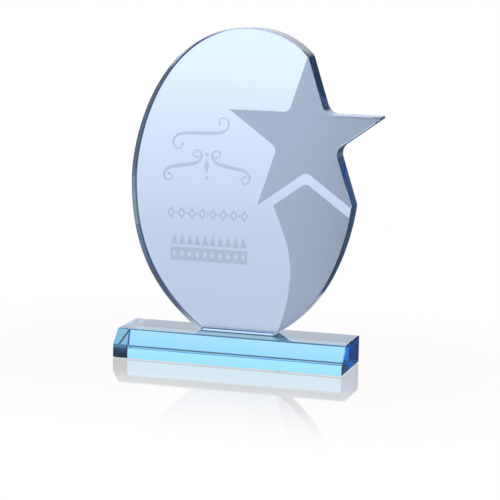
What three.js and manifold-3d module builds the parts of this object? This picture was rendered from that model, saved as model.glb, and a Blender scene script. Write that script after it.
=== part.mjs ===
// A glass award: an oval plaque whose right side is cut to the outline of a five-pointed star,
// bonded upright on a bevelled glass base that stands on four soft pads.
// Millimetres, +Z up. The front faces -Y, and +X is to the right as the award is read.

import * as THREE from "three";
import { mergeVertices } from "three/addons/utils/BufferGeometryUtils.js";
import Module from "manifold-3d";

const wasm = await Module();
wasm.setup();

// ---- Base block ----
const baseLength = 178;
const baseDepth = 51.5;
const baseHeight = 20.5;
const breakHeight = 10.2; // where the steep lower front meets the sloped upper front
const breakSetback = 0.65; // how far the break line stands behind the bottom front edge
const slopeSetback = 11.2; // how far the top front edge stands behind the bottom front edge
const arris = 0.7; // the narrow ground chamfer on the square glass edges
const softArris = 0.25; // the finer one on the two blunt edges along the base's front

// ---- Standing pads ----
const padHeight = 0.5;
const padRadius = 5;
const padTipRadius = 4.2; // the pad tapers to this where it meets the table
const padInset = 12; // from each side of the base to a pad's centre

// ---- Plaque ----
const plaqueThickness = 17.8;
const plaqueSetback = 23.9; // from the bottom front edge of the base to the plaque's front
const footHalfWidth = 28.8; // half of the flat foot that stands on the base
const bondThickness = 0.3;
const bondInset = 1.2; // the bond film stops this far inside the foot's edge

// The oval: heights are above the foot, and x is from the middle of the base.
const crown = { x: 6.3, z: 227.9 }; // highest point, where the outline runs level
const flank = { x: -83.9, z: 112.1 }; // leftmost point, where the outline runs upright
const crownReachRight = 23.7; // lengths of the curve handles on either side of those points
const crownReachLeft = 68;
const flankReachUp = 35.5;
const flankReachDown = 54.1;
const shoulderHandle = { x: -4.8, z: 7.2 }; // how the oval leaves the star's top tip
const leftFootHandle = { x: -35.4, z: 26.6 };
const rightFootHandle = { x: 45.9, z: 24 };
const hipHandle = { x: -1.8, z: -15.8 }; // how the outline leaves the star's lower right tip

// The star: upright and regular, with its right side standing out of the oval.
const starCentre = { x: 52, z: 148.3 };
const cutStarRadius = 59.6; // centre to tip, as the glass is cut
const etchedStarRadius = 62.9; // centre to tip, as the face is sandblasted
const innerFillet = 9; // radius of the two inner corners on the outline
const tipFillet = 1.2; // radius of the star's right tip
const etchedFillet = 5; // radius of the sandblasted star's inner corners and of the swoosh's peak

// The sandblasted areas on the front face.
const etchDepth = 0.25;
const bandDrop = 8.2; // clear band between the star and the swoosh, measured straight down
const swooshShoulderX = 27.5;
const swooshFootX = 31.4;
const swooshHandleTop = { x: 34.7, z: 77.5 };
const swooshHandleFoot = { x: 53.1, z: 56.2 };

// ---- Smoothness ----
const ovalSteps = 28;
const filletSteps = 10;
const padSides = 40;

const innerRatio = Math.cos(THREE.MathUtils.degToRad(72)) / Math.cos(THREE.MathUtils.degToRad(36));
const armSlope = Math.tan(THREE.MathUtils.degToRad(36)); // fall of the star's lower arm edges

// The ten corners of an upright star, clockwise from the top tip.
function starCorners(radius) {
  const corners = [];
  for (let i = 0; i < 10; i++) {
    const angle = THREE.MathUtils.degToRad(90 - 36 * i);
    const reach = i % 2 === 0 ? radius : radius * innerRatio;
    corners.push(
      new THREE.Vector2(
        starCentre.x + reach * Math.cos(angle),
        starCentre.z + reach * Math.sin(angle),
      ),
    );
  }
  return corners;
}

// Points of an arc that rounds the corner between two straight edges.
function roundedCorner(before, corner, after, radius) {
  const toBefore = before.clone().sub(corner).normalize();
  const toAfter = after.clone().sub(corner).normalize();
  const halfAngle = Math.acos(toBefore.dot(toAfter)) / 2;
  const bisector = toBefore.clone().add(toAfter).normalize();
  const centre = corner.clone().addScaledVector(bisector, radius / Math.sin(halfAngle));
  const reach = radius / Math.tan(halfAngle);
  const start = corner.clone().addScaledVector(toBefore, reach).sub(centre);
  const end = corner.clone().addScaledVector(toAfter, reach).sub(centre);
  const turn = Math.atan2(start.cross(end), start.dot(end));
  const points = [];
  for (let i = 0; i <= filletSteps; i++) {
    const spoke = start.clone().rotateAround(new THREE.Vector2(), (turn * i) / filletSteps);
    points.push(spoke.add(centre));
  }
  return points;
}

function curvePoints(start, startHandle, endHandle, end, steps) {
  return new THREE.CubicBezierCurve(
    start,
    new THREE.Vector2(start.x + startHandle.x, start.y + startHandle.z),
    new THREE.Vector2(end.x + endHandle.x, end.y + endHandle.z),
    end,
  ).getPoints(steps);
}

// The plaque's outline, clockwise from the star's top tip, each stretch ending where the next begins.
function plaqueOutline() {
  const [topTip, upperInner, rightTip, lowerInner, lowerTip] = starCorners(cutStarRadius);
  const rightFoot = new THREE.Vector2(footHalfWidth, 0);
  const leftFoot = new THREE.Vector2(-footHalfWidth, 0);
  const flankPoint = new THREE.Vector2(flank.x, flank.z);
  const crownPoint = new THREE.Vector2(crown.x, crown.z);
  return [
    ...roundedCorner(topTip, upperInner, rightTip, innerFillet),
    ...roundedCorner(upperInner, rightTip, lowerInner, tipFillet),
    ...roundedCorner(rightTip, lowerInner, lowerTip, innerFillet),
    ...curvePoints(lowerTip, hipHandle, rightFootHandle, rightFoot, ovalSteps),
    ...curvePoints(leftFoot, leftFootHandle, { x: 0, z: -flankReachDown }, flankPoint, ovalSteps),
    ...curvePoints(
      flankPoint,
      { x: 0, z: flankReachUp },
      { x: -crownReachLeft, z: 0 },
      crownPoint,
      ovalSteps,
    ).slice(1),
    ...curvePoints(crownPoint, { x: crownReachRight, z: 0 }, shoulderHandle, topTip, ovalSteps).slice(1),
  ];
}

// The sandblasted star, with its five inner corners rounded and its tips left sharp.
function etchedStar() {
  const corners = starCorners(etchedStarRadius);
  return corners.flatMap((corner, i) => {
    const after = corners[(i + 1) % corners.length];
    return i % 2 === 0 ? [corner] : roundedCorner(corners[i - 1], corner, after, etchedFillet);
  });
}

// The swoosh: parallel to the star's lower arms at the top, curved on its left, and running
// past the plaque's right edge, where the cut trims it.
function swooshOutline() {
  const apex = starCorners(etchedStarRadius)[5];
  apex.y -= bandDrop;
  const shoulder = new THREE.Vector2(
    swooshShoulderX,
    apex.y - (apex.x - swooshShoulderX) * armSlope,
  );
  const beyondX = flank.x * -1.3;
  const foot = new THREE.Vector2(swooshFootX, -1);
  const edge = new THREE.CubicBezierCurve(
    foot,
    new THREE.Vector2(swooshHandleFoot.x, swooshHandleFoot.z),
    new THREE.Vector2(swooshHandleTop.x, swooshHandleTop.z),
    shoulder,
  ).getPoints(ovalSteps);
  const trimmed = new THREE.Vector2(beyondX, apex.y - (beyondX - apex.x) * armSlope);
  return [
    ...edge,
    ...roundedCorner(shoulder, apex, trimmed, etchedFillet),
    trimmed,
    new THREE.Vector2(beyondX, foot.y),
  ];
}

function solidFrom(geometry) {
  geometry.deleteAttribute("normal");
  geometry.deleteAttribute("uv");
  const merged = mergeVertices(geometry, 1e-4);
  return new wasm.Manifold(
    new wasm.Mesh({
      numProp: 3,
      vertProperties: merged.attributes.position.array,
      triVerts: new Uint32Array(merged.index.array),
    }),
  );
}

function geometryFrom(solid) {
  const mesh = solid.getMesh();
  const geometry = new THREE.BufferGeometry();
  geometry.setAttribute("position", new THREE.BufferAttribute(mesh.vertProperties, 3));
  geometry.setIndex(new THREE.BufferAttribute(mesh.triVerts, 1));
  geometry.computeVertexNormals();
  return geometry;
}

// A slab with this outline in X and Z, from its front at y = 0 back to y = thickness.
function uprightSlab(points, thickness, chamfer) {
  const geometry = new THREE.ExtrudeGeometry(new THREE.Shape(points), {
    depth: thickness - 2 * chamfer,
    steps: 1,
    bevelEnabled: chamfer > 0,
    bevelThickness: chamfer,
    bevelSize: chamfer,
    bevelOffset: -chamfer,
    bevelSegments: 1,
  });
  geometry.rotateX(Math.PI / 2);
  geometry.translate(0, thickness - chamfer, 0);
  return geometry;
}

function plaqueGeometry() {
  let glass = solidFrom(uprightSlab(plaqueOutline(), plaqueThickness, arris));
  for (const outline of [etchedStar(), swooshOutline()]) {
    const cutter = uprightSlab(outline, etchDepth * 2, 0);
    cutter.translate(0, -etchDepth, 0);
    glass = glass.subtract(solidFrom(cutter));
  }
  return geometryFrom(glass);
}

// Replaces each corner of a closed outline with the two ends of its own chamfer.
function chamferedOutline(corners, sizes) {
  return corners.flatMap((corner, i) => {
    const before = corners[(i + corners.length - 1) % corners.length];
    const after = corners[(i + 1) % corners.length];
    return [before, after].map((other) =>
      corner.clone().add(other.clone().sub(corner).setLength(sizes[i])),
    );
  });
}

// The base's end profile in Y and Z, drawn along X, with a narrow chamfer on every edge.
function baseGeometry() {
  const profile = chamferedOutline(
    [
      new THREE.Vector2(0, 0),
      new THREE.Vector2(baseDepth, 0),
      new THREE.Vector2(baseDepth, baseHeight),
      new THREE.Vector2(slopeSetback, baseHeight),
      new THREE.Vector2(breakSetback, breakHeight),
    ],
    [arris, arris, arris, softArris, softArris],
  );
  const geometry = new THREE.ExtrudeGeometry(new THREE.Shape(profile), {
    depth: baseLength - 2 * arris,
    steps: 1,
    bevelEnabled: true,
    bevelThickness: arris,
    bevelSize: arris,
    bevelOffset: -arris,
    bevelSegments: 1,
  });
  geometry.translate(0, 0, arris - baseLength / 2);
  const alongX = new THREE.Matrix4().makeBasis(
    new THREE.Vector3(0, 1, 0),
    new THREE.Vector3(0, 0, 1),
    new THREE.Vector3(1, 0, 0),
  );
  return geometry.applyMatrix4(alongX);
}

function bondGeometry() {
  const width = 2 * (footHalfWidth - bondInset);
  const depth = plaqueThickness - 2 * bondInset;
  return new THREE.BoxGeometry(width, depth, bondThickness);
}

// A round pad, turned about an upright axis, with its wide face up against the glass.
function padGeometry() {
  const shoulderHeight = padHeight / 3; // the taper starts this far below the glass
  const geometry = new THREE.LatheGeometry(
    [
      new THREE.Vector2(0, 0),
      new THREE.Vector2(padTipRadius, 0),
      new THREE.Vector2(padRadius, padHeight - shoulderHeight),
      new THREE.Vector2(padRadius, padHeight),
      new THREE.Vector2(0, padHeight),
    ],
    padSides,
  );
  return geometry.rotateX(Math.PI / 2);
}

const plaqueGlass = { color: 0xc3d7ea, roughness: 0.05, metalness: 0 };
const baseGlass = { color: 0x9fd8f4, roughness: 0.05, metalness: 0 };
const bondResin = { color: 0xdde6ee, roughness: 0.1, metalness: 0 };
const padRubber = { color: 0xe4e9ec, roughness: 0.45, metalness: 0 };

const assembly = new THREE.Group();

function addPiece(name, geometry, finish, x, y, z) {
  const piece = new THREE.Mesh(geometry, new THREE.MeshStandardMaterial(finish));
  piece.name = name;
  piece.position.set(x, y, z);
  assembly.add(piece);
}

const baseTop = padHeight + baseHeight;
const plaqueMiddleY = plaqueSetback + plaqueThickness / 2;
addPiece("base_block", baseGeometry(), baseGlass, 0, 0, padHeight);
addPiece("bond_film", bondGeometry(), bondResin, 0, plaqueMiddleY, baseTop + bondThickness / 2);
addPiece("glass_plaque", plaqueGeometry(), plaqueGlass, 0, plaqueSetback, baseTop + bondThickness);

for (const [row, y] of [
  ["front", padInset],
  ["rear", baseDepth - padInset],
]) {
  for (const [side, sign] of [
    ["left", -1],
    ["right", 1],
  ]) {
    addPiece("pad_" + row + "_" + side, padGeometry(), padRubber, sign * (baseLength / 2 - padInset), y, 0);
  }
}

// The part's origin is under the middle of its bounding box, at table height.
const bounds = new THREE.Box3().setFromObject(assembly);
const middle = bounds.getCenter(new THREE.Vector3());
assembly.position.set(-middle.x, -middle.y, -bounds.min.z);

const award = new THREE.Group();
award.add(assembly);

export default award;
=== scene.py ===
import math

import bmesh
import bpy
from mathutils import Matrix, Vector


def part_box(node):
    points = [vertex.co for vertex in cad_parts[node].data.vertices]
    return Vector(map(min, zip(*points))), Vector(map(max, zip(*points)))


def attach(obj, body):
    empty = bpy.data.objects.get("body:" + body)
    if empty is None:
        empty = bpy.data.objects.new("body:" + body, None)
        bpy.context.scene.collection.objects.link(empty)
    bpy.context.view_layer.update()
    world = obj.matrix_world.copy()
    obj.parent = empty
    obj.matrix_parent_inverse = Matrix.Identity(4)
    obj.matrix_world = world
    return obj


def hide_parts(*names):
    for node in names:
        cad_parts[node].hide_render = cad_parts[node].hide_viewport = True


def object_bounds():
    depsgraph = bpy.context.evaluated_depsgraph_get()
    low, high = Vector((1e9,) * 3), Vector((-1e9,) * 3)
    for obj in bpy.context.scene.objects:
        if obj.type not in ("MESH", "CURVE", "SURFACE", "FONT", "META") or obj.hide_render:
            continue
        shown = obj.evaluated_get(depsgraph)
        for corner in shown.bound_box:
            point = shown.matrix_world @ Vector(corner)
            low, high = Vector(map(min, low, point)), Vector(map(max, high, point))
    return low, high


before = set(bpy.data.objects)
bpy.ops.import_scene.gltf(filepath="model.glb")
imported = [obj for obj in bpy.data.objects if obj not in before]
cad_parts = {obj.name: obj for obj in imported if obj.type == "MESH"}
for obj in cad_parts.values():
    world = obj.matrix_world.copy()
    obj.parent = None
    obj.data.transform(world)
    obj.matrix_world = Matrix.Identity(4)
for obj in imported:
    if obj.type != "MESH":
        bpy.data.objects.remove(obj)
cadLow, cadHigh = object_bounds()
mm = 0.001  # the sizes below are in millimetres
print("frame loaded:", len(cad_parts), "pieces in the packed model")

plaqueLow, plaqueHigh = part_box("glass_plaque")
baseLow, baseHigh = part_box("base_block")
middleX = (baseLow.x + baseHigh.x) / 2
hairGap = 0.02 * mm  # air left between pieces that touch, so that no two faces coincide


# an outline is a list of flat points, in millimetres; the plaque's run x across and z up
def bezier(start, startHandle, endHandle, end, steps):
    # a cubic curve; each handle is given from its own end
    p0, p3 = Vector(start), Vector(end)
    p1, p2 = p0 + Vector(startHandle), p3 + Vector(endHandle)
    points = []
    for i in range(steps + 1):
        t = i / steps
        s = 1 - t
        points.append(p0 * s**3 + p1 * 3 * s * s * t + p2 * 3 * s * t * t + p3 * t**3)
    return points


def roundedCorner(before, corner, after, radius, steps):
    # an arc in place of the corner between two straight edges
    toBefore = (before - corner).normalized()
    toAfter = (after - corner).normalized()
    halfAngle = math.acos(toBefore.dot(toAfter)) / 2
    centre = corner + (toBefore + toAfter).normalized() * (radius / math.sin(halfAngle))
    reach = radius / math.tan(halfAngle)
    first = corner + toBefore * reach - centre
    last = corner + toAfter * reach - centre
    turn = math.atan2(first.x * last.y - first.y * last.x, first.dot(last))
    return [centre + Matrix.Rotation(turn * i / steps, 2) @ first for i in range(steps + 1)]


def cleaned(points, gap=1e-5):
    # drops points that sit on the one before
    kept = []
    for p in points:
        if not kept or (p - kept[-1]).length > gap:
            kept.append(p)
    if (kept[0] - kept[-1]).length <= gap:
        kept.pop()
    return kept


def insetOutline(points, distance):
    # the same outline moved inwards, corner for corner; the outline runs clockwise
    moved = []
    for i, p in enumerate(points):
        a = (p - points[i - 1]).normalized()
        b = (points[(i + 1) % len(points)] - p).normalized()
        inwardA, inwardB = Vector((a.y, -a.x)), Vector((b.y, -b.x))
        mitre = (inwardA + inwardB).normalized()
        moved.append(p + mitre * (distance / max(mitre.dot(inwardA), 0.2)))
    return moved


def lozenge(x, z, halfWidth, halfHeight):
    ends = ((x - halfWidth, z), (x, z + halfHeight), (x + halfWidth, z), (x, z - halfHeight))
    return [Vector(p) for p in ends]


def bar(lowX, lowY, highX, highY):
    return [Vector(p) for p in ((lowX, lowY), (lowX, highY), (highX, highY), (highX, lowY))]


def scroll(x, z, tilt, reach, straight, curl, thick):
    # a stroke that runs straight through its middle, curls up at both ends and swells there to a ball
    thin, ball = 0.42, 1.1
    coarse = [reach * i / 60 for i in range(61) if reach * i / 60 < reach - 2.2 * ball]
    fine = [reach - 2.2 * ball * (1 - i / 20) for i in range(21)]
    sides = []
    for sign in (-1, 1):
        spot, heading, before = Vector((x, z)), math.radians(tilt), 0.0
        side = []
        for s in coarse + fine:
            step = s - before
            turn = sign * curl * max((s + before) / 2 - straight, 0) * step
            middle = heading + turn / 2
            spot = spot + Vector((math.cos(middle), math.sin(middle))) * sign * step
            heading, before = heading + sign * turn, s
            width = thin + (thick - thin) * math.cos(math.pi / 2 * s / reach) ** 2
            left = reach - s
            if left < 2 * ball:
                swell = ball * math.sqrt(max(0, 1 - (left / ball - 1) ** 2))
                width = max(width if left > ball else 0.02, swell)
            side.append((spot, Vector((-math.sin(heading), math.cos(heading))) * width))
        sides.append(side)
    line = list(reversed(sides[0]))[:-1] + sides[1]
    return [p + across for p, across in line] + [p - across for p, across in reversed(line)]


def meshObject(name, mesh):
    obj = bpy.data.objects.new(name, mesh)
    bpy.context.scene.collection.objects.link(obj)
    return obj


def meshFrom(name, bm):
    bmesh.ops.recalc_face_normals(bm, faces=bm.faces)
    mesh = bpy.data.meshes.new(name)
    bm.to_mesh(mesh)
    bm.free()
    return mesh


def skinRings(bm, rings):
    # closed skin through rings of points, all with the same count, capped at both ends
    loops = [[bm.verts.new(p) for p in ring] for ring in rings]
    bm.faces.new(loops[0])
    bm.faces.new(list(reversed(loops[-1])))
    for near, far in zip(loops, loops[1:]):
        for i in range(len(near)):
            j = (i + 1) % len(near)
            bm.faces.new((near[j], near[i], far[i], far[j]))


def applied(obj):
    # the object's mesh with its modifiers made real
    depsgraph = bpy.context.evaluated_depsgraph_get()
    mesh = bpy.data.meshes.new_from_object(obj.evaluated_get(depsgraph))
    obj.modifiers.clear()
    obj.data = mesh


def carve(target, cutterMesh):
    cutter = meshObject("cutter", cutterMesh)
    cut = target.modifiers.new("carve", "BOOLEAN")
    cut.operation = "DIFFERENCE"
    cut.solver = "EXACT"
    cut.object = cutter
    applied(target)
    bpy.data.objects.remove(cutter)


def smoothByAngle(mesh, degrees):
    for face in mesh.polygons:
        face.use_smooth = True
    mesh.set_sharp_from_angle(angle=math.radians(degrees))


def markFaces(mesh, name, valueOf):
    # a number on each face for the material to read
    layer = mesh.attributes.new(name, "FLOAT", "FACE")
    layer.data.foreach_set("value", [valueOf(face) for face in mesh.polygons])


def addNode(tree, kind, **settings):
    node = tree.nodes.new("ShaderNode" + kind)
    for key, value in settings.items():
        setattr(node, key, value)
    return node


def feed(tree, socket, value):
    if isinstance(value, bpy.types.NodeSocket):
        tree.links.new(value, socket)
    else:
        socket.default_value = value


def mathNode(tree, operation, a, b=None):
    node = addNode(tree, "Math", operation=operation)
    feed(tree, node.inputs[0], a)
    if b is not None:
        feed(tree, node.inputs[1], b)
    return node.outputs[0]


def ramp(tree, value, fromMin, fromMax, toMin=0.0, toMax=1.0):
    node = addNode(tree, "MapRange", interpolation_type="SMOOTHSTEP")
    names = ("Value", "From Min", "From Max", "To Min", "To Max")
    for name, part in zip(names, (value, fromMin, fromMax, toMin, toMax)):
        feed(tree, node.inputs[name], part)
    return node.outputs[0]


def mixColour(tree, factor, a, b, blend="MIX"):
    node = addNode(tree, "Mix", data_type="RGBA", blend_type=blend)
    for socket, value in ((0, factor), (6, a), (7, b)):
        feed(tree, node.inputs[socket], value)
    return node.outputs[2]


def dotWith(tree, vector, direction):
    node = addNode(tree, "VectorMath", operation="DOT_PRODUCT")
    tree.links.new(vector, node.inputs[0])
    node.inputs[1].default_value = direction
    return node.outputs["Value"]


def colourStops(tree, value, stops):
    node = addNode(tree, "ValToRGB")
    tree.links.new(value, node.inputs[0])
    elements = node.color_ramp.elements
    while len(elements) < len(stops):
        elements.new(0.5)
    for element, (place, colour) in zip(elements, stops):
        element.position = place
        element.color = tuple(colour) + (1,)
    return node.outputs["Color"]


def noise(tree, coordinates, scale, detail=2.0, roughness=0.5):
    node = addNode(tree, "TexNoise")
    tree.links.new(coordinates, node.inputs["Vector"])
    feed(tree, node.inputs["Scale"], scale)
    node.inputs["Detail"].default_value = detail
    node.inputs["Roughness"].default_value = roughness
    return node.outputs["Fac"]


def newGroup(name, inputs, outputs):
    group = bpy.data.node_groups.new(name, "ShaderNodeTree")
    for label, value in inputs.items():
        socket = group.interface.new_socket(label, in_out="INPUT", socket_type="NodeSocketFloat")
        socket.default_value = value
    for label in outputs:
        group.interface.new_socket(label, in_out="OUTPUT", socket_type="NodeSocketFloat")
    given, made = group.nodes.new("NodeGroupInput"), group.nodes.new("NodeGroupOutput")
    return group, given.outputs, made.inputs


def placeGroup(tree, group, **values):
    node = addNode(tree, "Group", node_tree=group)
    for label, value in values.items():
        node.inputs[label].default_value = value
    return node.outputs


def newMaterial(name):
    mat = bpy.data.materials.new(name)
    mat.use_nodes = True
    tree = mat.node_tree
    tree.nodes.clear()
    return mat, tree, tree.nodes.new("ShaderNodeOutputMaterial")


# scales are cells per metre
handling = {
    "patches": 34,
    "patchEdge": (0.52, 0.70),
    "wipeTurn": (0, 0.6, 0),
    "wipeStretch": (40, 60, 900),
    "wipeEdge": (0.35, 0.75),
    "scratches": ((0.35, (2600, 700, 14)), (-0.9, (3100, 800, 11))),  # turn and stretch of each set
    "scratchEdge": (0.76, 0.80),
    "scratchedAreas": 21,
    "areaEdge": (0.45, 0.6),
    "specks": 420,
    "speckEdge": (0.05, 0.09),
    "clean": 0.93,  # share of the cells without a speck
}


def buildHandlingMarks():
    # what is left on polished glass by hands and cloths: smears, hairline scratches and specks of dust
    h = handling
    inputs = {"Smears": 0.03, "Scratches": 0.1, "Dust": 0.3}
    group, given, made = newGroup("handlingMarks", inputs, ["Roughness", "Height"])
    where = addNode(group, "TexCoord").outputs["Object"]
    patches = ramp(group, noise(group, where, h["patches"], 3), *h["patchEdge"])
    wipes = addNode(group, "Mapping")
    group.links.new(where, wipes.inputs["Vector"])
    wipes.inputs["Rotation"].default_value = h["wipeTurn"]
    wipes.inputs["Scale"].default_value = h["wipeStretch"]
    strokes = ramp(group, noise(group, wipes.outputs[0], 1.0, 3, 0.6), *h["wipeEdge"])
    smears = mathNode(group, "MULTIPLY", mathNode(group, "MULTIPLY", patches, strokes), given["Smears"])
    scratchMask = 0.0
    for turn, stretch in h["scratches"]:
        lines = addNode(group, "Mapping")
        group.links.new(where, lines.inputs["Vector"])
        lines.inputs["Rotation"].default_value = (0.1, turn, 0.2)
        lines.inputs["Scale"].default_value = stretch
        hair = ramp(group, noise(group, lines.outputs[0], 1.0, 1), *h["scratchEdge"])
        scratchMask = mathNode(group, "MAXIMUM", hair, scratchMask)
    here = ramp(group, noise(group, where, h["scratchedAreas"], 1), *h["areaEdge"])
    scratchMask = mathNode(group, "MULTIPLY", scratchMask, here)
    scratches = mathNode(group, "MULTIPLY", scratchMask, given["Scratches"])
    specks = addNode(group, "TexVoronoi")
    group.links.new(where, specks.inputs["Vector"])
    specks.inputs["Scale"].default_value = h["specks"]
    few = mathNode(group, "GREATER_THAN", dotWith(group, specks.outputs["Color"], (1, 0, 0)), h["clean"])
    small = ramp(group, specks.outputs["Distance"], *h["speckEdge"], 1.0, 0.0)
    dust = mathNode(group, "MULTIPLY", mathNode(group, "MULTIPLY", few, small), given["Dust"])
    total = mathNode(group, "ADD", mathNode(group, "ADD", smears, scratches), dust)
    group.links.new(total, made["Roughness"])
    group.links.new(mathNode(group, "MULTIPLY", scratchMask, -1.0), made["Height"])
    return group


def buildFrostGrain():
    # the fine pitting left by blasting grit or a grinding belt, with faint cloudy patches
    inputs = {"Grains": 3600, "Clouds": 45, "Depth": 1.0}
    group, given, made = newGroup("frostGrain", inputs, ["Shade", "Height"])
    where = addNode(group, "TexCoord").outputs["Object"]
    pits = noise(group, where, given["Grains"], 2, 0.7)
    clouds = noise(group, where, given["Clouds"], 4, 0.55)
    fine, broad = mathNode(group, "MULTIPLY", pits, 0.35), mathNode(group, "MULTIPLY", clouds, 0.65)
    shade = mathNode(group, "ADD", fine, broad)
    group.links.new(ramp(group, shade, 0.3, 0.7), made["Shade"])
    group.links.new(mathNode(group, "MULTIPLY", pits, given["Depth"]), made["Height"])
    return group


handlingMarks = buildHandlingMarks()
frostGrain = buildFrostGrain()


# sandblasted and ground glass, the same on the plaque and the base
frost = {
    "etchedRoughness": 0.45,
    "etchedDark": (0.47, 0.475, 0.49),
    "etchedLight": (0.52, 0.525, 0.54),
    "spread": 0.06,  # how far the roughness wanders with the cloudy patches
    "groundRoughness": 0.3,
    "bump": 0.08,
    "pitDepth": 0.01,  # millimetres
}


def clearShader(tree, out, ior):
    shader = addNode(tree, "BsdfPrincipled")
    shader.inputs["Metallic"].default_value = 0
    shader.inputs["Transmission Weight"].default_value = 1
    shader.inputs["IOR"].default_value = ior
    tree.links.new(shader.outputs["BSDF"], out.inputs["Surface"])
    return shader.inputs


headroom = 1.02  # keeps every part of the volume's colour above black


def tintInside(tree, out, absorption):
    # red, green and blue lost per millimetre, as one density and a colour
    density = max(absorption) / mm * headroom
    volume = addNode(tree, "VolumeAbsorption")
    volume.inputs["Density"].default_value = density
    volume.inputs["Color"].default_value = tuple(1 - a / mm / density for a in absorption) + (1,)
    tree.links.new(volume.outputs["Volume"], out.inputs["Volume"])


def bumpFrom(tree, height, strength, distance):
    bump = addNode(tree, "Bump")
    bump.inputs["Distance"].default_value = distance * mm
    feed(tree, bump.inputs["Strength"], strength)
    tree.links.new(height, bump.inputs["Height"])
    return bump.outputs[0]


def glassMaterial(name, g):
    # clear tinted glass; the "etched" and "ground" numbers on its faces turn it frosted
    mat, tree, out = newMaterial(name)
    inputs = clearShader(tree, out, g["ior"])
    etched = addNode(tree, "Attribute", attribute_name="etched").outputs["Fac"]
    ground = addNode(tree, "Attribute", attribute_name="ground").outputs["Fac"]
    marks = placeGroup(tree, handlingMarks, Smears=g["smears"], Scratches=g["scratches"], Dust=g["dust"])
    grain = placeGroup(tree, frostGrain, Grains=g["grains"], Clouds=g["clouds"])
    frostShade = mixColour(tree, grain["Shade"], frost["etchedDark"] + (1,), frost["etchedLight"] + (1,))
    tint = mixColour(tree, etched, (1, 1, 1, 1), frostShade)
    tree.links.new(mixColour(tree, ground, tint, g["groundTint"] + (1,)), inputs["Base Color"])
    least, most = (frost["etchedRoughness"] * (1 + sign * frost["spread"]) for sign in (-1, 1))
    frosted = mathNode(tree, "MULTIPLY", etched, ramp(tree, grain["Shade"], 0, 1, least, most))
    rough = mathNode(tree, "MAXIMUM", frosted, mathNode(tree, "MULTIPLY", ground, frost["groundRoughness"]))
    tree.links.new(mathNode(tree, "ADD", rough, marks["Roughness"]), inputs["Roughness"])
    matt = mathNode(tree, "MAXIMUM", etched, ground)
    strength = mathNode(tree, "MULTIPLY", matt, frost["bump"])
    tree.links.new(bumpFrom(tree, grain["Height"], strength, frost["pitDepth"]), inputs["Normal"])
    tintInside(tree, out, g["absorption"])
    return mat


plaque = {
    "footHalfWidth": 28.8,
    "crown": (6.3, 227.9),  # highest point, where the outline runs level
    "flank": (-83.9, 112.1),  # leftmost point, where it runs upright
    "crownReachRight": 23.7,
    "crownReachLeft": 68,
    "flankReachUp": 35.5,
    "flankReachDown": 54.1,
    "shoulderHandle": (-4.8, 7.2),
    "leftFootHandle": (-35.4, 26.6),
    "rightFootHandle": (45.9, 24),
    "hipHandle": (-1.8, -15.8),
    "starCentre": (52, 148.3),
    "cutStarRadius": 59.6,
    "etchedStarRadius": 62.9,
    "innerFillet": 9,
    "tipFillet": 1.2,
    "etchedFillet": 5,
    "arris": 0.7,  # ground chamfer round both faces
    "arrisEase": 0.1,  # how far the chamfer's own edges are eased
    "groundTone": 0.3,  # how matt the chamfers are
    "footTone": 1.0,  # the same for the two at the foot
    "etchDepth": 0.25,
    "bandDrop": 8.2,  # clear band between the star and the swoosh
    "swooshShoulderX": 27.5,
    "swooshFootX": 31.4,
    "swooshHandleTop": (34.7, 77.5),
    "swooshHandleFoot": (53.1, 56.2),
    "beyondX": 110,  # clear of the plaque's right edge
    "curveSteps": 96,
    "filletSteps": 16,
    "smoothAngle": 15,
}

plaqueFinish = {
    "absorption": (0.0225, 0.0125, 0.0045),  # red, green and blue lost per millimetre
    "ior": 1.6,
    "groundTint": (0.42, 0.66, 0.76),
    "grains": 3600,
    "clouds": 45,
    "smears": 0.02,
    "scratches": 0.1,
    "dust": 0.25,
}

innerRatio = math.cos(math.radians(72)) / math.cos(math.radians(36))  # of a star's inner to outer radius
armSlope = math.tan(math.radians(36))  # fall of the star's lower arm edges


def starCorners(radius):
    # ten corners of an upright star, clockwise from the top tip
    corners = []
    for i in range(10):
        angle = math.radians(90 - 36 * i)
        reach = radius if i % 2 == 0 else radius * innerRatio
        corners.append(Vector(plaque["starCentre"]) + Vector((math.cos(angle), math.sin(angle))) * reach)
    return corners


def plaqueOutline():
    # clockwise from the star's top tip
    p = plaque
    topTip, upperInner, rightTip, lowerInner, lowerTip = starCorners(p["cutStarRadius"])[:5]
    steps = p["curveSteps"]
    foot = p["footHalfWidth"]
    points = roundedCorner(topTip, upperInner, rightTip, p["innerFillet"], p["filletSteps"])
    points += roundedCorner(upperInner, rightTip, lowerInner, p["tipFillet"], p["filletSteps"])
    points += roundedCorner(rightTip, lowerInner, lowerTip, p["innerFillet"], p["filletSteps"])
    points += bezier(lowerTip, p["hipHandle"], p["rightFootHandle"], (foot, 0), steps)
    points += bezier((-foot, 0), p["leftFootHandle"], (0, -p["flankReachDown"]), p["flank"], steps)
    points += bezier(p["flank"], (0, p["flankReachUp"]), (-p["crownReachLeft"], 0), p["crown"], steps)
    points += bezier(p["crown"], (p["crownReachRight"], 0), p["shoulderHandle"], topTip, steps)
    return cleaned(points)


def etchedStar():
    # inner corners rounded, tips left sharp
    p = plaque
    corners = starCorners(p["etchedStarRadius"])
    points = []
    for i, corner in enumerate(corners):
        if i % 2 == 0:
            points.append(corner)
        else:
            after = corners[(i + 1) % 10]
            points += roundedCorner(corners[i - 1], corner, after, p["etchedFillet"], p["filletSteps"])
    return points


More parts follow.
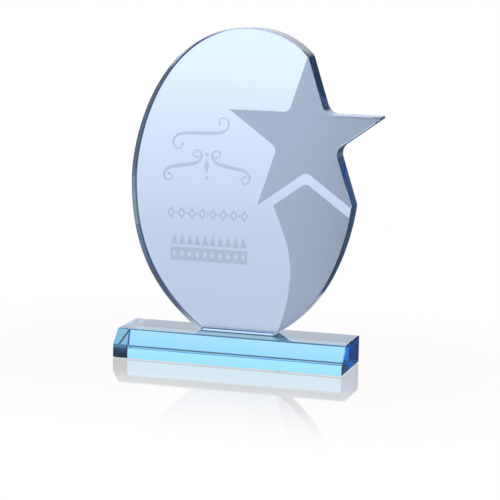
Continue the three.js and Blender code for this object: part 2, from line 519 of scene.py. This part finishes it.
def swooshOutline():
    # parallel to the star's lower arms at the top, curved on its left, running past the plaque's right edge
    p = plaque
    apex = starCorners(p["etchedStarRadius"])[5] - Vector((0, p["bandDrop"]))
    shoulder = Vector((p["swooshShoulderX"], apex.y - (apex.x - p["swooshShoulderX"]) * armSlope))
    foot = Vector((p["swooshFootX"], -1))
    footHandle = Vector(p["swooshHandleFoot"]) - foot
    shoulderHandle = Vector(p["swooshHandleTop"]) - shoulder
    points = bezier(foot, footHandle, shoulderHandle, shoulder, p["curveSteps"])
    right = Vector((p["beyondX"], apex.y - (p["beyondX"] - apex.x) * armSlope))
    points += roundedCorner(shoulder, apex, right, p["etchedFillet"], p["filletSteps"])
    return points + [right, Vector((p["beyondX"], foot.y))]


# a plain engraved ornament left of the star: scrolls, drops, a row of lozenges, and a bar under teeth
ornament = {
    "depth": 0.12,
    "tone": 0.68,  # how frosted it is beside the star
    # middle x and z, tilt, half length, straight reach, curl, half thickness
    "scrolls": (
        (-29.0, 149.0, 2, 39.0, 9, 0.0122, 1.35),
        (-43.0, 124.5, 10, 33.5, 5, 0.0172, 1.4),
        (-6.0, 124.5, 170, 33.5, 5, -0.0172, 1.4),
    ),
    "drops": ((-24.5, 124.5, 2.0, 5.4), (-24.5, 133.2, 1.1, 1.9), (-24.5, 115.8, 1.1, 1.9)),
    "rowHeight": 88.5,
    "rowStart": -52.0,
    "rowStep": 8.2,
    "rowCount": 8,
    "rowLozenge": (3.1, 4.6),
    "rowIsland": (1.7, 2.5),
    "rowDot": (0.7, 1.2),
    "bar": (-52.0, 52.5, 8.0, 62.5),
    "barLozenges": 10,
    "barIsland": (1.8, 2.9),
    "toothFoot": 64.6,
    "toothTop": 72.6,
    "toothGap": 1.0,
}


def ornamentOutlines():
    # the outlines cut into the glass, and the islands left standing inside them
    o = ornament
    cut = [scroll(*values) for values in o["scrolls"]]
    cut += [lozenge(*values) for values in o["drops"]]
    islands = []
    for i in range(o["rowCount"]):
        x = o["rowStart"] + i * o["rowStep"]
        cut.append(lozenge(x, o["rowHeight"], *o["rowLozenge"]))
        islands.append(lozenge(x, o["rowHeight"], *o["rowIsland"]))
        if i:
            cut.append(lozenge(x - o["rowStep"] / 2, o["rowHeight"], *o["rowDot"]))
    lowX, lowZ, highX, highZ = o["bar"]
    cut.append(bar(lowX, lowZ, highX, highZ))
    middleZ = (lowZ + highZ) / 2
    step = (highX - lowX) / o["barLozenges"]
    for i in range(o["barLozenges"]):
        x = lowX + step * (i + 0.5)
        half = (step - o["toothGap"]) / 2
        islands.append(lozenge(x, middleZ, *o["barIsland"]))
        tooth = ((x - half, o["toothFoot"]), (x, o["toothTop"]), (x + half, o["toothFoot"]))
        cut.append([Vector(p) for p in tooth])
    return cut, islands


def placed(x, y, z):
    # plaque drawing, in millimetres, to the part's frame
    return Vector((middleX + x * mm, y, plaqueLow.z + z * mm))


def prismMesh(name, outlines, nearY, farY):
    # one closed prism for each outline, in a single mesh
    bm = bmesh.new()
    for points in outlines:
        skinRings(bm, [[placed(p.x, y, p.y) for p in points] for y in (nearY, farY)])
    return meshFrom(name, bm)


def buildPlaque():
    p = plaque
    outline, arris, ease = plaqueOutline(), p["arris"], p["arrisEase"]
    half = ease / 2
    profile = [(arris + ease, 0), (arris - half, half), (half, arris - half), (0, arris + ease)]
    rings = []
    for inset, depth in profile:
        rings.append([placed(q.x, plaqueLow.y + depth * mm, q.y) for q in insetOutline(outline, inset)])
    for inset, depth in reversed(profile):
        rings.append([placed(q.x, plaqueHigh.y - depth * mm, q.y) for q in insetOutline(outline, inset)])
    bm = bmesh.new()
    skinRings(bm, rings)
    obj = meshObject("awardPlaque", meshFrom("awardPlaque", bm))
    clear = plaqueLow.y - 2 * mm  # a cutter's near face stands clear of the glass
    etchY = plaqueLow.y + p["etchDepth"] * mm
    markY = plaqueLow.y + ornament["depth"] * mm
    carve(obj, prismMesh("etchedAreas", [etchedStar(), swooshOutline()], clear, etchY))
    cut, islands = ornamentOutlines()
    marks = meshObject("ornamentCutter", prismMesh("ornamentCutter", cut, clear, markY))
    carve(marks, prismMesh("ornamentIslands", islands, clear - mm, markY + mm))
    carve(obj, marks.data)
    bpy.data.objects.remove(marks)

    def frostOf(face):
        if face.normal.y > -0.99:
            return 0.0
        near = 0.02 * mm
        if abs(face.center.y - etchY) < near:
            return 1.0
        return ornament["tone"] if abs(face.center.y - markY) < near else 0.0

    def groundOf(face):
        onChamfer = 0.2 < abs(face.normal.y) < 0.98
        tone = p["footTone"] if face.normal.z < -0.6 else p["groundTone"]
        return tone if onChamfer else 0.0

    markFaces(obj.data, "etched", frostOf)
    markFaces(obj.data, "ground", groundOf)
    smoothByAngle(obj.data, p["smoothAngle"])
    obj.data.materials.append(glassMaterial("plaqueGlass", plaqueFinish))
    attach(obj, "root")
    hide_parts("glass_plaque")
    print("plaque cut, etched and engraved:", len(obj.data.polygons), "faces")


base = {
    "depth": 51.5,
    "breakHeight": 10.2,  # where the steep lower front meets the sloped upper front
    "breakSetback": 0.65,
    "slopeSetback": 11.2,
    "arris": 0.7,  # on the square edges, ground all round
    "softArris": 0.25,  # on the blunt edge at the top of the front
    "breakArris": 0.08,  # on the blunt edge between the two front facets
    "smoothAngle": 10,
    "groundTone": 0.4,  # how matt the chamfers are
    "backToneAndShade": 0.75,  # the same for the long one under the back, rougher as the belt left it, and tinted darker as painted shade under the base
}

baseFinish = {
    "absorption": (0.0217, 0.0064, 0.001),
    "ior": 1.6,
    "groundTint": (0.8, 0.84, 0.87),
    "grains": 3200,
    "clouds": 60,
    "smears": 0.002,
    "scratches": 0.03,
    "dust": 0.15,
}


def buildBase():
    b = base
    depth, height = b["depth"], (baseHigh.z - baseLow.z) / mm
    # y back and z up, seen from the left end
    front = [(0, 0), (b["breakSetback"], b["breakHeight"]), (b["slopeSetback"], height)]
    profile = front + [(depth, height), (depth, 0)]
    bm = bmesh.new()
    rings = []
    for x in (baseLow.x, baseHigh.x):
        rings.append([Vector((x, baseHigh.y + (y - depth) * mm, baseLow.z + z * mm)) for y, z in profile])
    skinRings(bm, rings)
    obj = meshObject("awardBase", meshFrom("awardBase", bm))
    mesh = obj.data
    mainNormals = [face.normal.copy() for face in mesh.polygons]
    sizes = mesh.attributes.new("bevel_weight_edge", "FLOAT", "EDGE")
    for edge, size in zip(mesh.edges, sizes.data):
        ends = [mesh.vertices[v].co for v in edge.vertices]
        alongX = abs(ends[0].x - ends[1].x) > depth * mm
        rise, back = (ends[0].z - baseLow.z) / mm, (baseHigh.y - ends[0].y) / mm
        width = b["arris"]
        if alongX and rise > 1 and back > 2:
            width = b["breakArris"] if rise < b["breakHeight"] + 1 else b["softArris"]
        size.value = width / b["arris"]
    bevel = obj.modifiers.new("arris", "BEVEL")
    bevel.width = b["arris"] * mm
    bevel.offset_type = "OFFSET"
    bevel.limit_method = "WEIGHT"
    bevel.segments = 1
    applied(obj)

    def groundOf(face):
        if max(face.normal.dot(n) for n in mainNormals) > 0.9995:
            return 0.0
        alongX = abs(face.normal.x) < 0.1
        # the chamfer under the back is made rougher and also darker; the darker tint is painted shade under
        # the base
        if alongX and face.normal.y > 0.5 and face.normal.z < -0.5:
            return b["backToneAndShade"]
        onBreak = alongX and abs(face.center.z - baseLow.z - b["breakHeight"] * mm) < mm
        return 0.0 if onBreak else b["groundTone"]  # the fine break between the front facets is polished

    markFaces(obj.data, "ground", groundOf)
    smoothByAngle(obj.data, b["smoothAngle"])
    obj.data.materials.append(glassMaterial("baseGlass", baseFinish))
    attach(obj, "root")
    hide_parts("base_block")
    print("base ground and polished:", len(obj.data.polygons), "faces")


bond = {
    "corner": 2.2,
    "waviness": 0.28,  # how far the squeezed edge wanders inwards
    "waist": 0.12,  # how far the edge is drawn in at half height
    "edgeSteps": 22,
    "cornerSteps": 6,
    "smoothAngle": 30,
    "ior": 1.5,
    "absorption": (0.004, 0.002, 0.001),
    "hazy": (0.93, 0.95, 0.95, 1),
    "bubbles": 900,
    "bubbleEdge": (0.1, 0.2),
    "bare": 0.86,  # share of the cells without a bubble
    "flow": 160,
    "roughness": (0.02, 0.07),
    "pitRoughness": 0.25,
    "bump": 0.3,
    "pitDepth": 0.02,
}


def resinMaterial():
    # clear resin with faint flow marks and a few trapped bubbles
    mat, tree, out = newMaterial("bondResin")
    inputs = clearShader(tree, out, bond["ior"])
    where = addNode(tree, "TexCoord").outputs["Object"]
    bubbles = addNode(tree, "TexVoronoi")
    tree.links.new(where, bubbles.inputs["Vector"])
    bubbles.inputs["Scale"].default_value = bond["bubbles"]
    few = mathNode(tree, "GREATER_THAN", dotWith(tree, bubbles.outputs["Color"], (0, 1, 0)), bond["bare"])
    bubble = ramp(tree, bubbles.outputs["Distance"], *bond["bubbleEdge"], 1.0, 0.0)
    pit = mathNode(tree, "MULTIPLY", bubble, few)
    flow = noise(tree, where, bond["flow"], 3)
    tree.links.new(mixColour(tree, flow, bond["hazy"], (1, 1, 1, 1)), inputs["Base Color"])
    smooth = ramp(tree, flow, 0.3, 0.7, *bond["roughness"])
    rough = mathNode(tree, "ADD", smooth, mathNode(tree, "MULTIPLY", pit, bond["pitRoughness"]))
    tree.links.new(rough, inputs["Roughness"])
    relief = mathNode(tree, "SUBTRACT", flow, pit)
    tree.links.new(bumpFrom(tree, relief, bond["bump"], bond["pitDepth"]), inputs["Normal"])
    tintInside(tree, out, bond["absorption"])
    return mat


def buildBond():
    b = bond
    low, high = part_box("bond_film")
    halfX, halfY = (high.x - low.x) / 2 / mm, (high.y - low.y) / 2 / mm
    corners = bar(-halfX, -halfY, halfX, halfY)
    outline = []
    for i, corner in enumerate(corners):
        end = corners[(i + 1) % 4]
        outline += roundedCorner(corners[i - 1], corner, end, b["corner"], b["cornerSteps"])
        start = outline[-1]
        run = (end - corner).normalized()
        straight = (end - start).length - b["corner"]
        for k in range(1, b["edgeSteps"]):
            outline.append(start + run * straight * k / b["edgeSteps"])
    wavy = []
    for i, p in enumerate(outline):
        wander = b["waviness"] * (0.5 + 0.28 * math.sin(i * 0.9) + 0.22 * math.sin(i * 2.3 + 1))
        wavy.append(p - p.normalized() * wander)
    centre = (low + high) / 2
    rings = []
    for z, inset in ((low.z + hairGap, 0.0), (centre.z, b["waist"]), (high.z - hairGap, 0.0)):
        edge = insetOutline(wavy, inset)
        rings.append([Vector((centre.x + p.x * mm, centre.y + p.y * mm, z)) for p in edge])
    bm = bmesh.new()
    skinRings(bm, rings)
    obj = meshObject("bondResin", meshFrom("bondResin", bm))
    smoothByAngle(obj.data, b["smoothAngle"])
    obj.data.materials.append(resinMaterial())
    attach(obj, "root")
    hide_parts("bond_film")
    print("bond resin spread:", len(obj.data.polygons), "faces")


pad = {
    "segments": 56,
    "smoothAngle": 35,
    # radius and height of the moulded profile, as parts of the pad's own radius and height, from the foot up
    "profile": (
        (0.80, 0.0), (0.84, 0.03), (0.87, 0.12), (0.93, 0.38),
        (0.975, 0.62), (0.992, 0.78), (0.992, 0.9), (0.98, 0.96),
    ),
    "milky": (0.62, 0.66, 0.69, 1),
    "pale": (0.76, 0.79, 0.81, 1),
    "ior": 1.49,
    "glow": 0.25,  # how much light the milky rubber scatters inside
    "glowDepth": 2,
    "smears": 0.1,
    "scratches": 0.1,
    "dust": 0.4,
    "grains": 2200,
    "clouds": 260,
    "roughness": (0.32, 0.5),
    "bump": 0.4,
    "pitDepth": 0.03,
}


def padMaterial():
    mat, tree, out = newMaterial("padRubber")
    shader = addNode(tree, "BsdfPrincipled")
    shader.inputs["IOR"].default_value = pad["ior"]
    shader.inputs["Subsurface Weight"].default_value = pad["glow"]
    shader.inputs["Subsurface Scale"].default_value = pad["glowDepth"] * mm
    tree.links.new(shader.outputs["BSDF"], out.inputs["Surface"])
    marks = placeGroup(tree, handlingMarks, Smears=pad["smears"], Scratches=pad["scratches"], Dust=pad["dust"])
    grain = placeGroup(tree, frostGrain, Grains=pad["grains"], Clouds=pad["clouds"])
    tree.links.new(mixColour(tree, grain["Shade"], pad["milky"], pad["pale"]), shader.inputs["Base Color"])
    rough = mathNode(tree, "ADD", ramp(tree, grain["Shade"], 0, 1, *pad["roughness"]), marks["Roughness"])
    tree.links.new(rough, shader.inputs["Roughness"])
    tree.links.new(bumpFrom(tree, grain["Height"], pad["bump"], pad["pitDepth"]), shader.inputs["Normal"])
    return mat


def buildPads():
    rubber = padMaterial()
    for side in ("front_left", "front_right", "rear_left", "rear_right"):
        low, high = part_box("pad_" + side)
        centre, radius = (low + high) / 2, (high.x - low.x) / 2
        rise = high.z - low.z - hairGap
        rings = []
        for part, height in pad["profile"]:
            ring = []
            for i in range(pad["segments"]):
                angle = math.tau * i / pad["segments"]
                out = Vector((math.cos(angle), math.sin(angle))) * radius * part
                ring.append(Vector((centre.x + out.x, centre.y + out.y, low.z + rise * height)))
            rings.append(ring)
        bm = bmesh.new()
        skinRings(bm, rings)
        name = "pad" + "".join(word.capitalize() for word in side.split("_"))
        obj = meshObject(name, meshFrom(name, bm))
        smoothByAngle(obj.data, pad["smoothAngle"])
        obj.data.materials.append(rubber)
        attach(obj, "root")
        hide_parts("pad_" + side)
    print("pads moulded: 4")


studio = {
    "azimuth": 16.5,  # the studio's long axis faces the camera
    "floorRadius": 20,
    "floorSegments": 96,
    # light of the paper at growing distances, in metres
    "floorStops": (
        (0.0, 0.73), (0.15, 0.75), (0.28, 0.76), (0.7, 0.81),
        (0.95, 0.89), (1.6, 0.98), (3.0, 1.16), (4.0, 1.18),
    ),
    "floorFar": 4.0,
    "floorBlue": 1.1,
    "paperRight": 0.0545,  # slopes of the paper's two edges, as it fans out from the camera's foot
    "paperLeft": 0.078,
    "paperEdge": 0.008,
    "paperFront": (-0.04, -0.02),  # nearer to the camera than this the paper is full width
    "cameraReach": 1.42,
    "paintedShadowUnderAward": 0.25,  # painted shadow: how much of the floor's light is left under the base
    "paintedShadowReach": 0.11,
    "dark": (0.03, 0.047, 0.064, 1),  # side walls, and the floor on the left
    "darkRight": (0.09, 0.16, 0.26, 1),  # foot of the wall on the right
    # the floor on the right at growing distances
    "rightStops": (
        (0.12, (0.09, 0.16, 0.26)), (0.3, (0.072, 0.108, 0.14)),
        (0.75, (0.078, 0.11, 0.135)), (1.2, (0.26, 0.31, 0.33)),
    ),
    "floorMirror": 0.35,
    "mirrorCostAndShade": 1.27,  # light the paper gives up for what it mirrors, set a little high so that it also paints a faint shade round the base
    "mirrorTint": (1, 0.93, 0.87, 1),
    "mirrorReach": 0.22,
    "floorBlur": 0.05,
    "white": 1.1,  # what the camera sees all round
    "wallStops": (
        (0.0, (1.05, 1.2, 1.42)), (0.3, (1.26, 1.23, 1.3)),
        (0.6, (1.22, 1.2, 1.28)), (1.0, (0.78, 0.84, 0.98)),
    ),
    "wallEdge": (0.30, 0.46),  # how far aside the bright wall fades into the dark ones
    "overhead": (0.38, 0.52),  # height at which the dark walls give way
    "overheadDark": 0.35,
    "glowEdge": (0.08, 0.2),  # height at which the foot of the right wall goes dark
}

studioTurn = math.radians(studio["azimuth"])
sideways = (math.cos(studioTurn), math.sin(studioTurn), 0)
awayFromCamera = (-math.sin(studioTurn), math.cos(studioTurn), 0)


def buildWalls():
    # a bright wall ahead and dark ones at the sides, as the glass sees them; plain white to the eye
    s = studio
    world = bpy.data.worlds.new("studio")
    bpy.context.scene.world = world
    world.use_nodes = True
    tree = world.node_tree
    tree.nodes.clear()
    seen = addNode(tree, "Background")
    seen.inputs["Strength"].default_value = s["white"]
    seen.inputs["Color"].default_value = (1, 1, 1, 1)
    around = addNode(tree, "Background")
    mix = addNode(tree, "MixShader")
    tree.links.new(addNode(tree, "LightPath").outputs["Is Camera Ray"], mix.inputs[0])
    tree.links.new(around.outputs[0], mix.inputs[1])
    tree.links.new(seen.outputs[0], mix.inputs[2])
    tree.links.new(mix.outputs[0], addNode(tree, "OutputWorld").inputs["Surface"])
    direction = addNode(tree, "TexCoord").outputs["Generated"]
    height = dotWith(tree, direction, (0, 0, 1))
    across = dotWith(tree, direction, sideways)
    aside = ramp(tree, mathNode(tree, "ABSOLUTE", across), *s["wallEdge"])
    dark = mathNode(tree, "MULTIPLY", aside, ramp(tree, height, *s["overhead"], 1.0, s["overheadDark"]))
    light = colourStops(tree, height, s["wallStops"])
    onRight = mathNode(tree, "GREATER_THAN", across, 0.0)
    glowing = mathNode(tree, "MULTIPLY", onRight, ramp(tree, height, *s["glowEdge"], 1.0, 0.0))
    side = mixColour(tree, glowing, s["dark"], s["darkRight"])
    tree.links.new(mixColour(tree, dark, light, side), around.inputs["Color"])


def floorLight(tree, where):
    # paper that fans out behind the award and runs up to the camera, dark beside it
    s = studio
    aside = dotWith(tree, where, sideways)
    along = dotWith(tree, where, awayFromCamera)
    spread = mathNode(tree, "ADD", mathNode(tree, "ABSOLUTE", along), s["cameraReach"])
    slope = mathNode(tree, "DIVIDE", aside, spread)
    offRight = ramp(tree, slope, s["paperRight"], s["paperRight"] + s["paperEdge"])
    leftward = mathNode(tree, "MULTIPLY", slope, -1)
    offLeft = ramp(tree, leftward, s["paperLeft"], s["paperLeft"] + s["paperEdge"])
    behind = ramp(tree, along, *s["paperFront"])
    offPaper = mathNode(tree, "MULTIPLY", mathNode(tree, "MAXIMUM", offRight, offLeft), behind)
    reach = addNode(tree, "VectorMath", operation="LENGTH")
    tree.links.new(where, reach.inputs[0])
    far = s["floorFar"]
    outwards = mathNode(tree, "DIVIDE", reach.outputs["Value"], far)
    stops = [(metres / far, (light, light, light * s["floorBlue"])) for metres, light in s["floorStops"]]
    paper = colourStops(tree, outwards, stops)
    stops = [(metres / far, colour) for metres, colour in s["rightStops"]]
    right = colourStops(tree, outwards, stops)
    onRight = mathNode(tree, "GREATER_THAN", aside, 0.0)
    return paper, offPaper, mixColour(tree, onRight, s["dark"], right)


def buildFloor():
    s = studio
    bm = bmesh.new()
    bmesh.ops.create_circle(bm, cap_ends=True, segments=s["floorSegments"], radius=s["floorRadius"])
    floor = meshObject("studioFloor", meshFrom("studioFloor", bm))
    mat, tree, out = newMaterial("studioFloor")
    where = addNode(tree, "TexCoord").outputs["Object"]
    # how far a spot lies outside the base's footprint
    flat = addNode(tree, "SeparateXYZ")
    tree.links.new(where, flat.inputs[0])
    outside = []
    halfLength = (baseHigh.x - baseLow.x) / 2
    for axis, middle, half in (("X", middleX, halfLength), ("Y", 0.0, baseHigh.y)):
        offset = mathNode(tree, "ABSOLUTE", mathNode(tree, "SUBTRACT", flat.outputs[axis], middle))
        beyond = mathNode(tree, "MAXIMUM", mathNode(tree, "SUBTRACT", offset, half), 0.0)
        outside.append(mathNode(tree, "MULTIPLY", beyond, beyond))
    outward = mathNode(tree, "SQRT", mathNode(tree, "ADD", outside[0], outside[1]))
    mirror = ramp(tree, outward, 0.0, s["mirrorReach"], s["floorMirror"], 0.0)
    gloss = addNode(tree, "BsdfGlossy")
    tree.links.new(mixColour(tree, 1.0, mirror, s["mirrorTint"], "MULTIPLY"), gloss.inputs["Color"])
    gloss.inputs["Roughness"].default_value = s["floorBlur"]
    body = addNode(tree, "Emission")
    # the paper's glow near the base is dimmed a little more than the reflection makes up, which paints a faint
    # shade round the base
    givenUpAndShade = mathNode(tree, "MULTIPLY", mirror, s["mirrorCostAndShade"])
    tree.links.new(mathNode(tree, "SUBTRACT", 1.0, givenUpAndShade), body.inputs["Strength"])
    seen = addNode(tree, "AddShader")
    tree.links.new(body.outputs[0], seen.inputs[0])
    tree.links.new(gloss.outputs[0], seen.inputs[1])
    paper, offPaper, sides = floorLight(tree, where)
    # painted shadow of the award: the floor's glow is dimmed under and round the base
    shade = ramp(tree, outward, 0.0, s["paintedShadowReach"], s["paintedShadowUnderAward"], 1.0)
    paper = mixColour(tree, 1.0, paper, shade, "MULTIPLY")
    glow = addNode(tree, "Emission")
    tree.links.new(mixColour(tree, offPaper, paper, sides), glow.inputs["Color"])
    mix = addNode(tree, "MixShader")
    tree.links.new(addNode(tree, "LightPath").outputs["Is Camera Ray"], mix.inputs[0])
    tree.links.new(glow.outputs[0], mix.inputs[1])
    tree.links.new(seen.outputs[0], mix.inputs[2])
    tree.links.new(mix.outputs[0], out.inputs["Surface"])
    floor.data.materials.append(mat)


view = {
    "azimuth": 16.496,
    "elevation": 9.334,
    "roll": 1.1,
    "distance": 1.44429,  # metres
    "lens": 142.39,
    "aim": (0.0087, -0.0258, -0.0355),  # metres from the middle of the part's box
}


def buildCamera():
    v = view
    az, el, roll = (math.radians(v[k]) for k in ("azimuth", "elevation", "roll"))
    back = Vector((math.sin(az) * math.cos(el), -math.cos(az) * math.cos(el), math.sin(el)))
    right = Vector((math.cos(az), math.sin(az), 0))
    up = back.cross(right)
    tiltedRight = right * math.cos(roll) + up * math.sin(roll)
    tiltedUp = up * math.cos(roll) - right * math.sin(roll)
    aim = (cadLow + cadHigh) / 2 + Vector(v["aim"])
    data = bpy.data.cameras.new("studioCamera")
    data.lens = v["lens"]
    data.sensor_width = 36
    camera = bpy.data.objects.new("studioCamera", data)
    bpy.context.scene.collection.objects.link(camera)
    turned = Matrix((tiltedRight, tiltedUp, back)).transposed().to_4x4()
    camera.matrix_world = Matrix.Translation(aim + back * v["distance"]) @ turned
    bpy.context.scene.camera = camera


buildCamera()
buildWalls()
buildFloor()
print("studio and camera set")
buildPlaque()
buildBase()
buildBond()
buildPads()

scene = bpy.context.scene
scene.view_settings.view_transform = "Standard"
scene.cycles.max_bounces = 32
scene.cycles.transmission_bounces = 32
scene.cycles.glossy_bounces = 16
scene.cycles.volume_bounces = 0
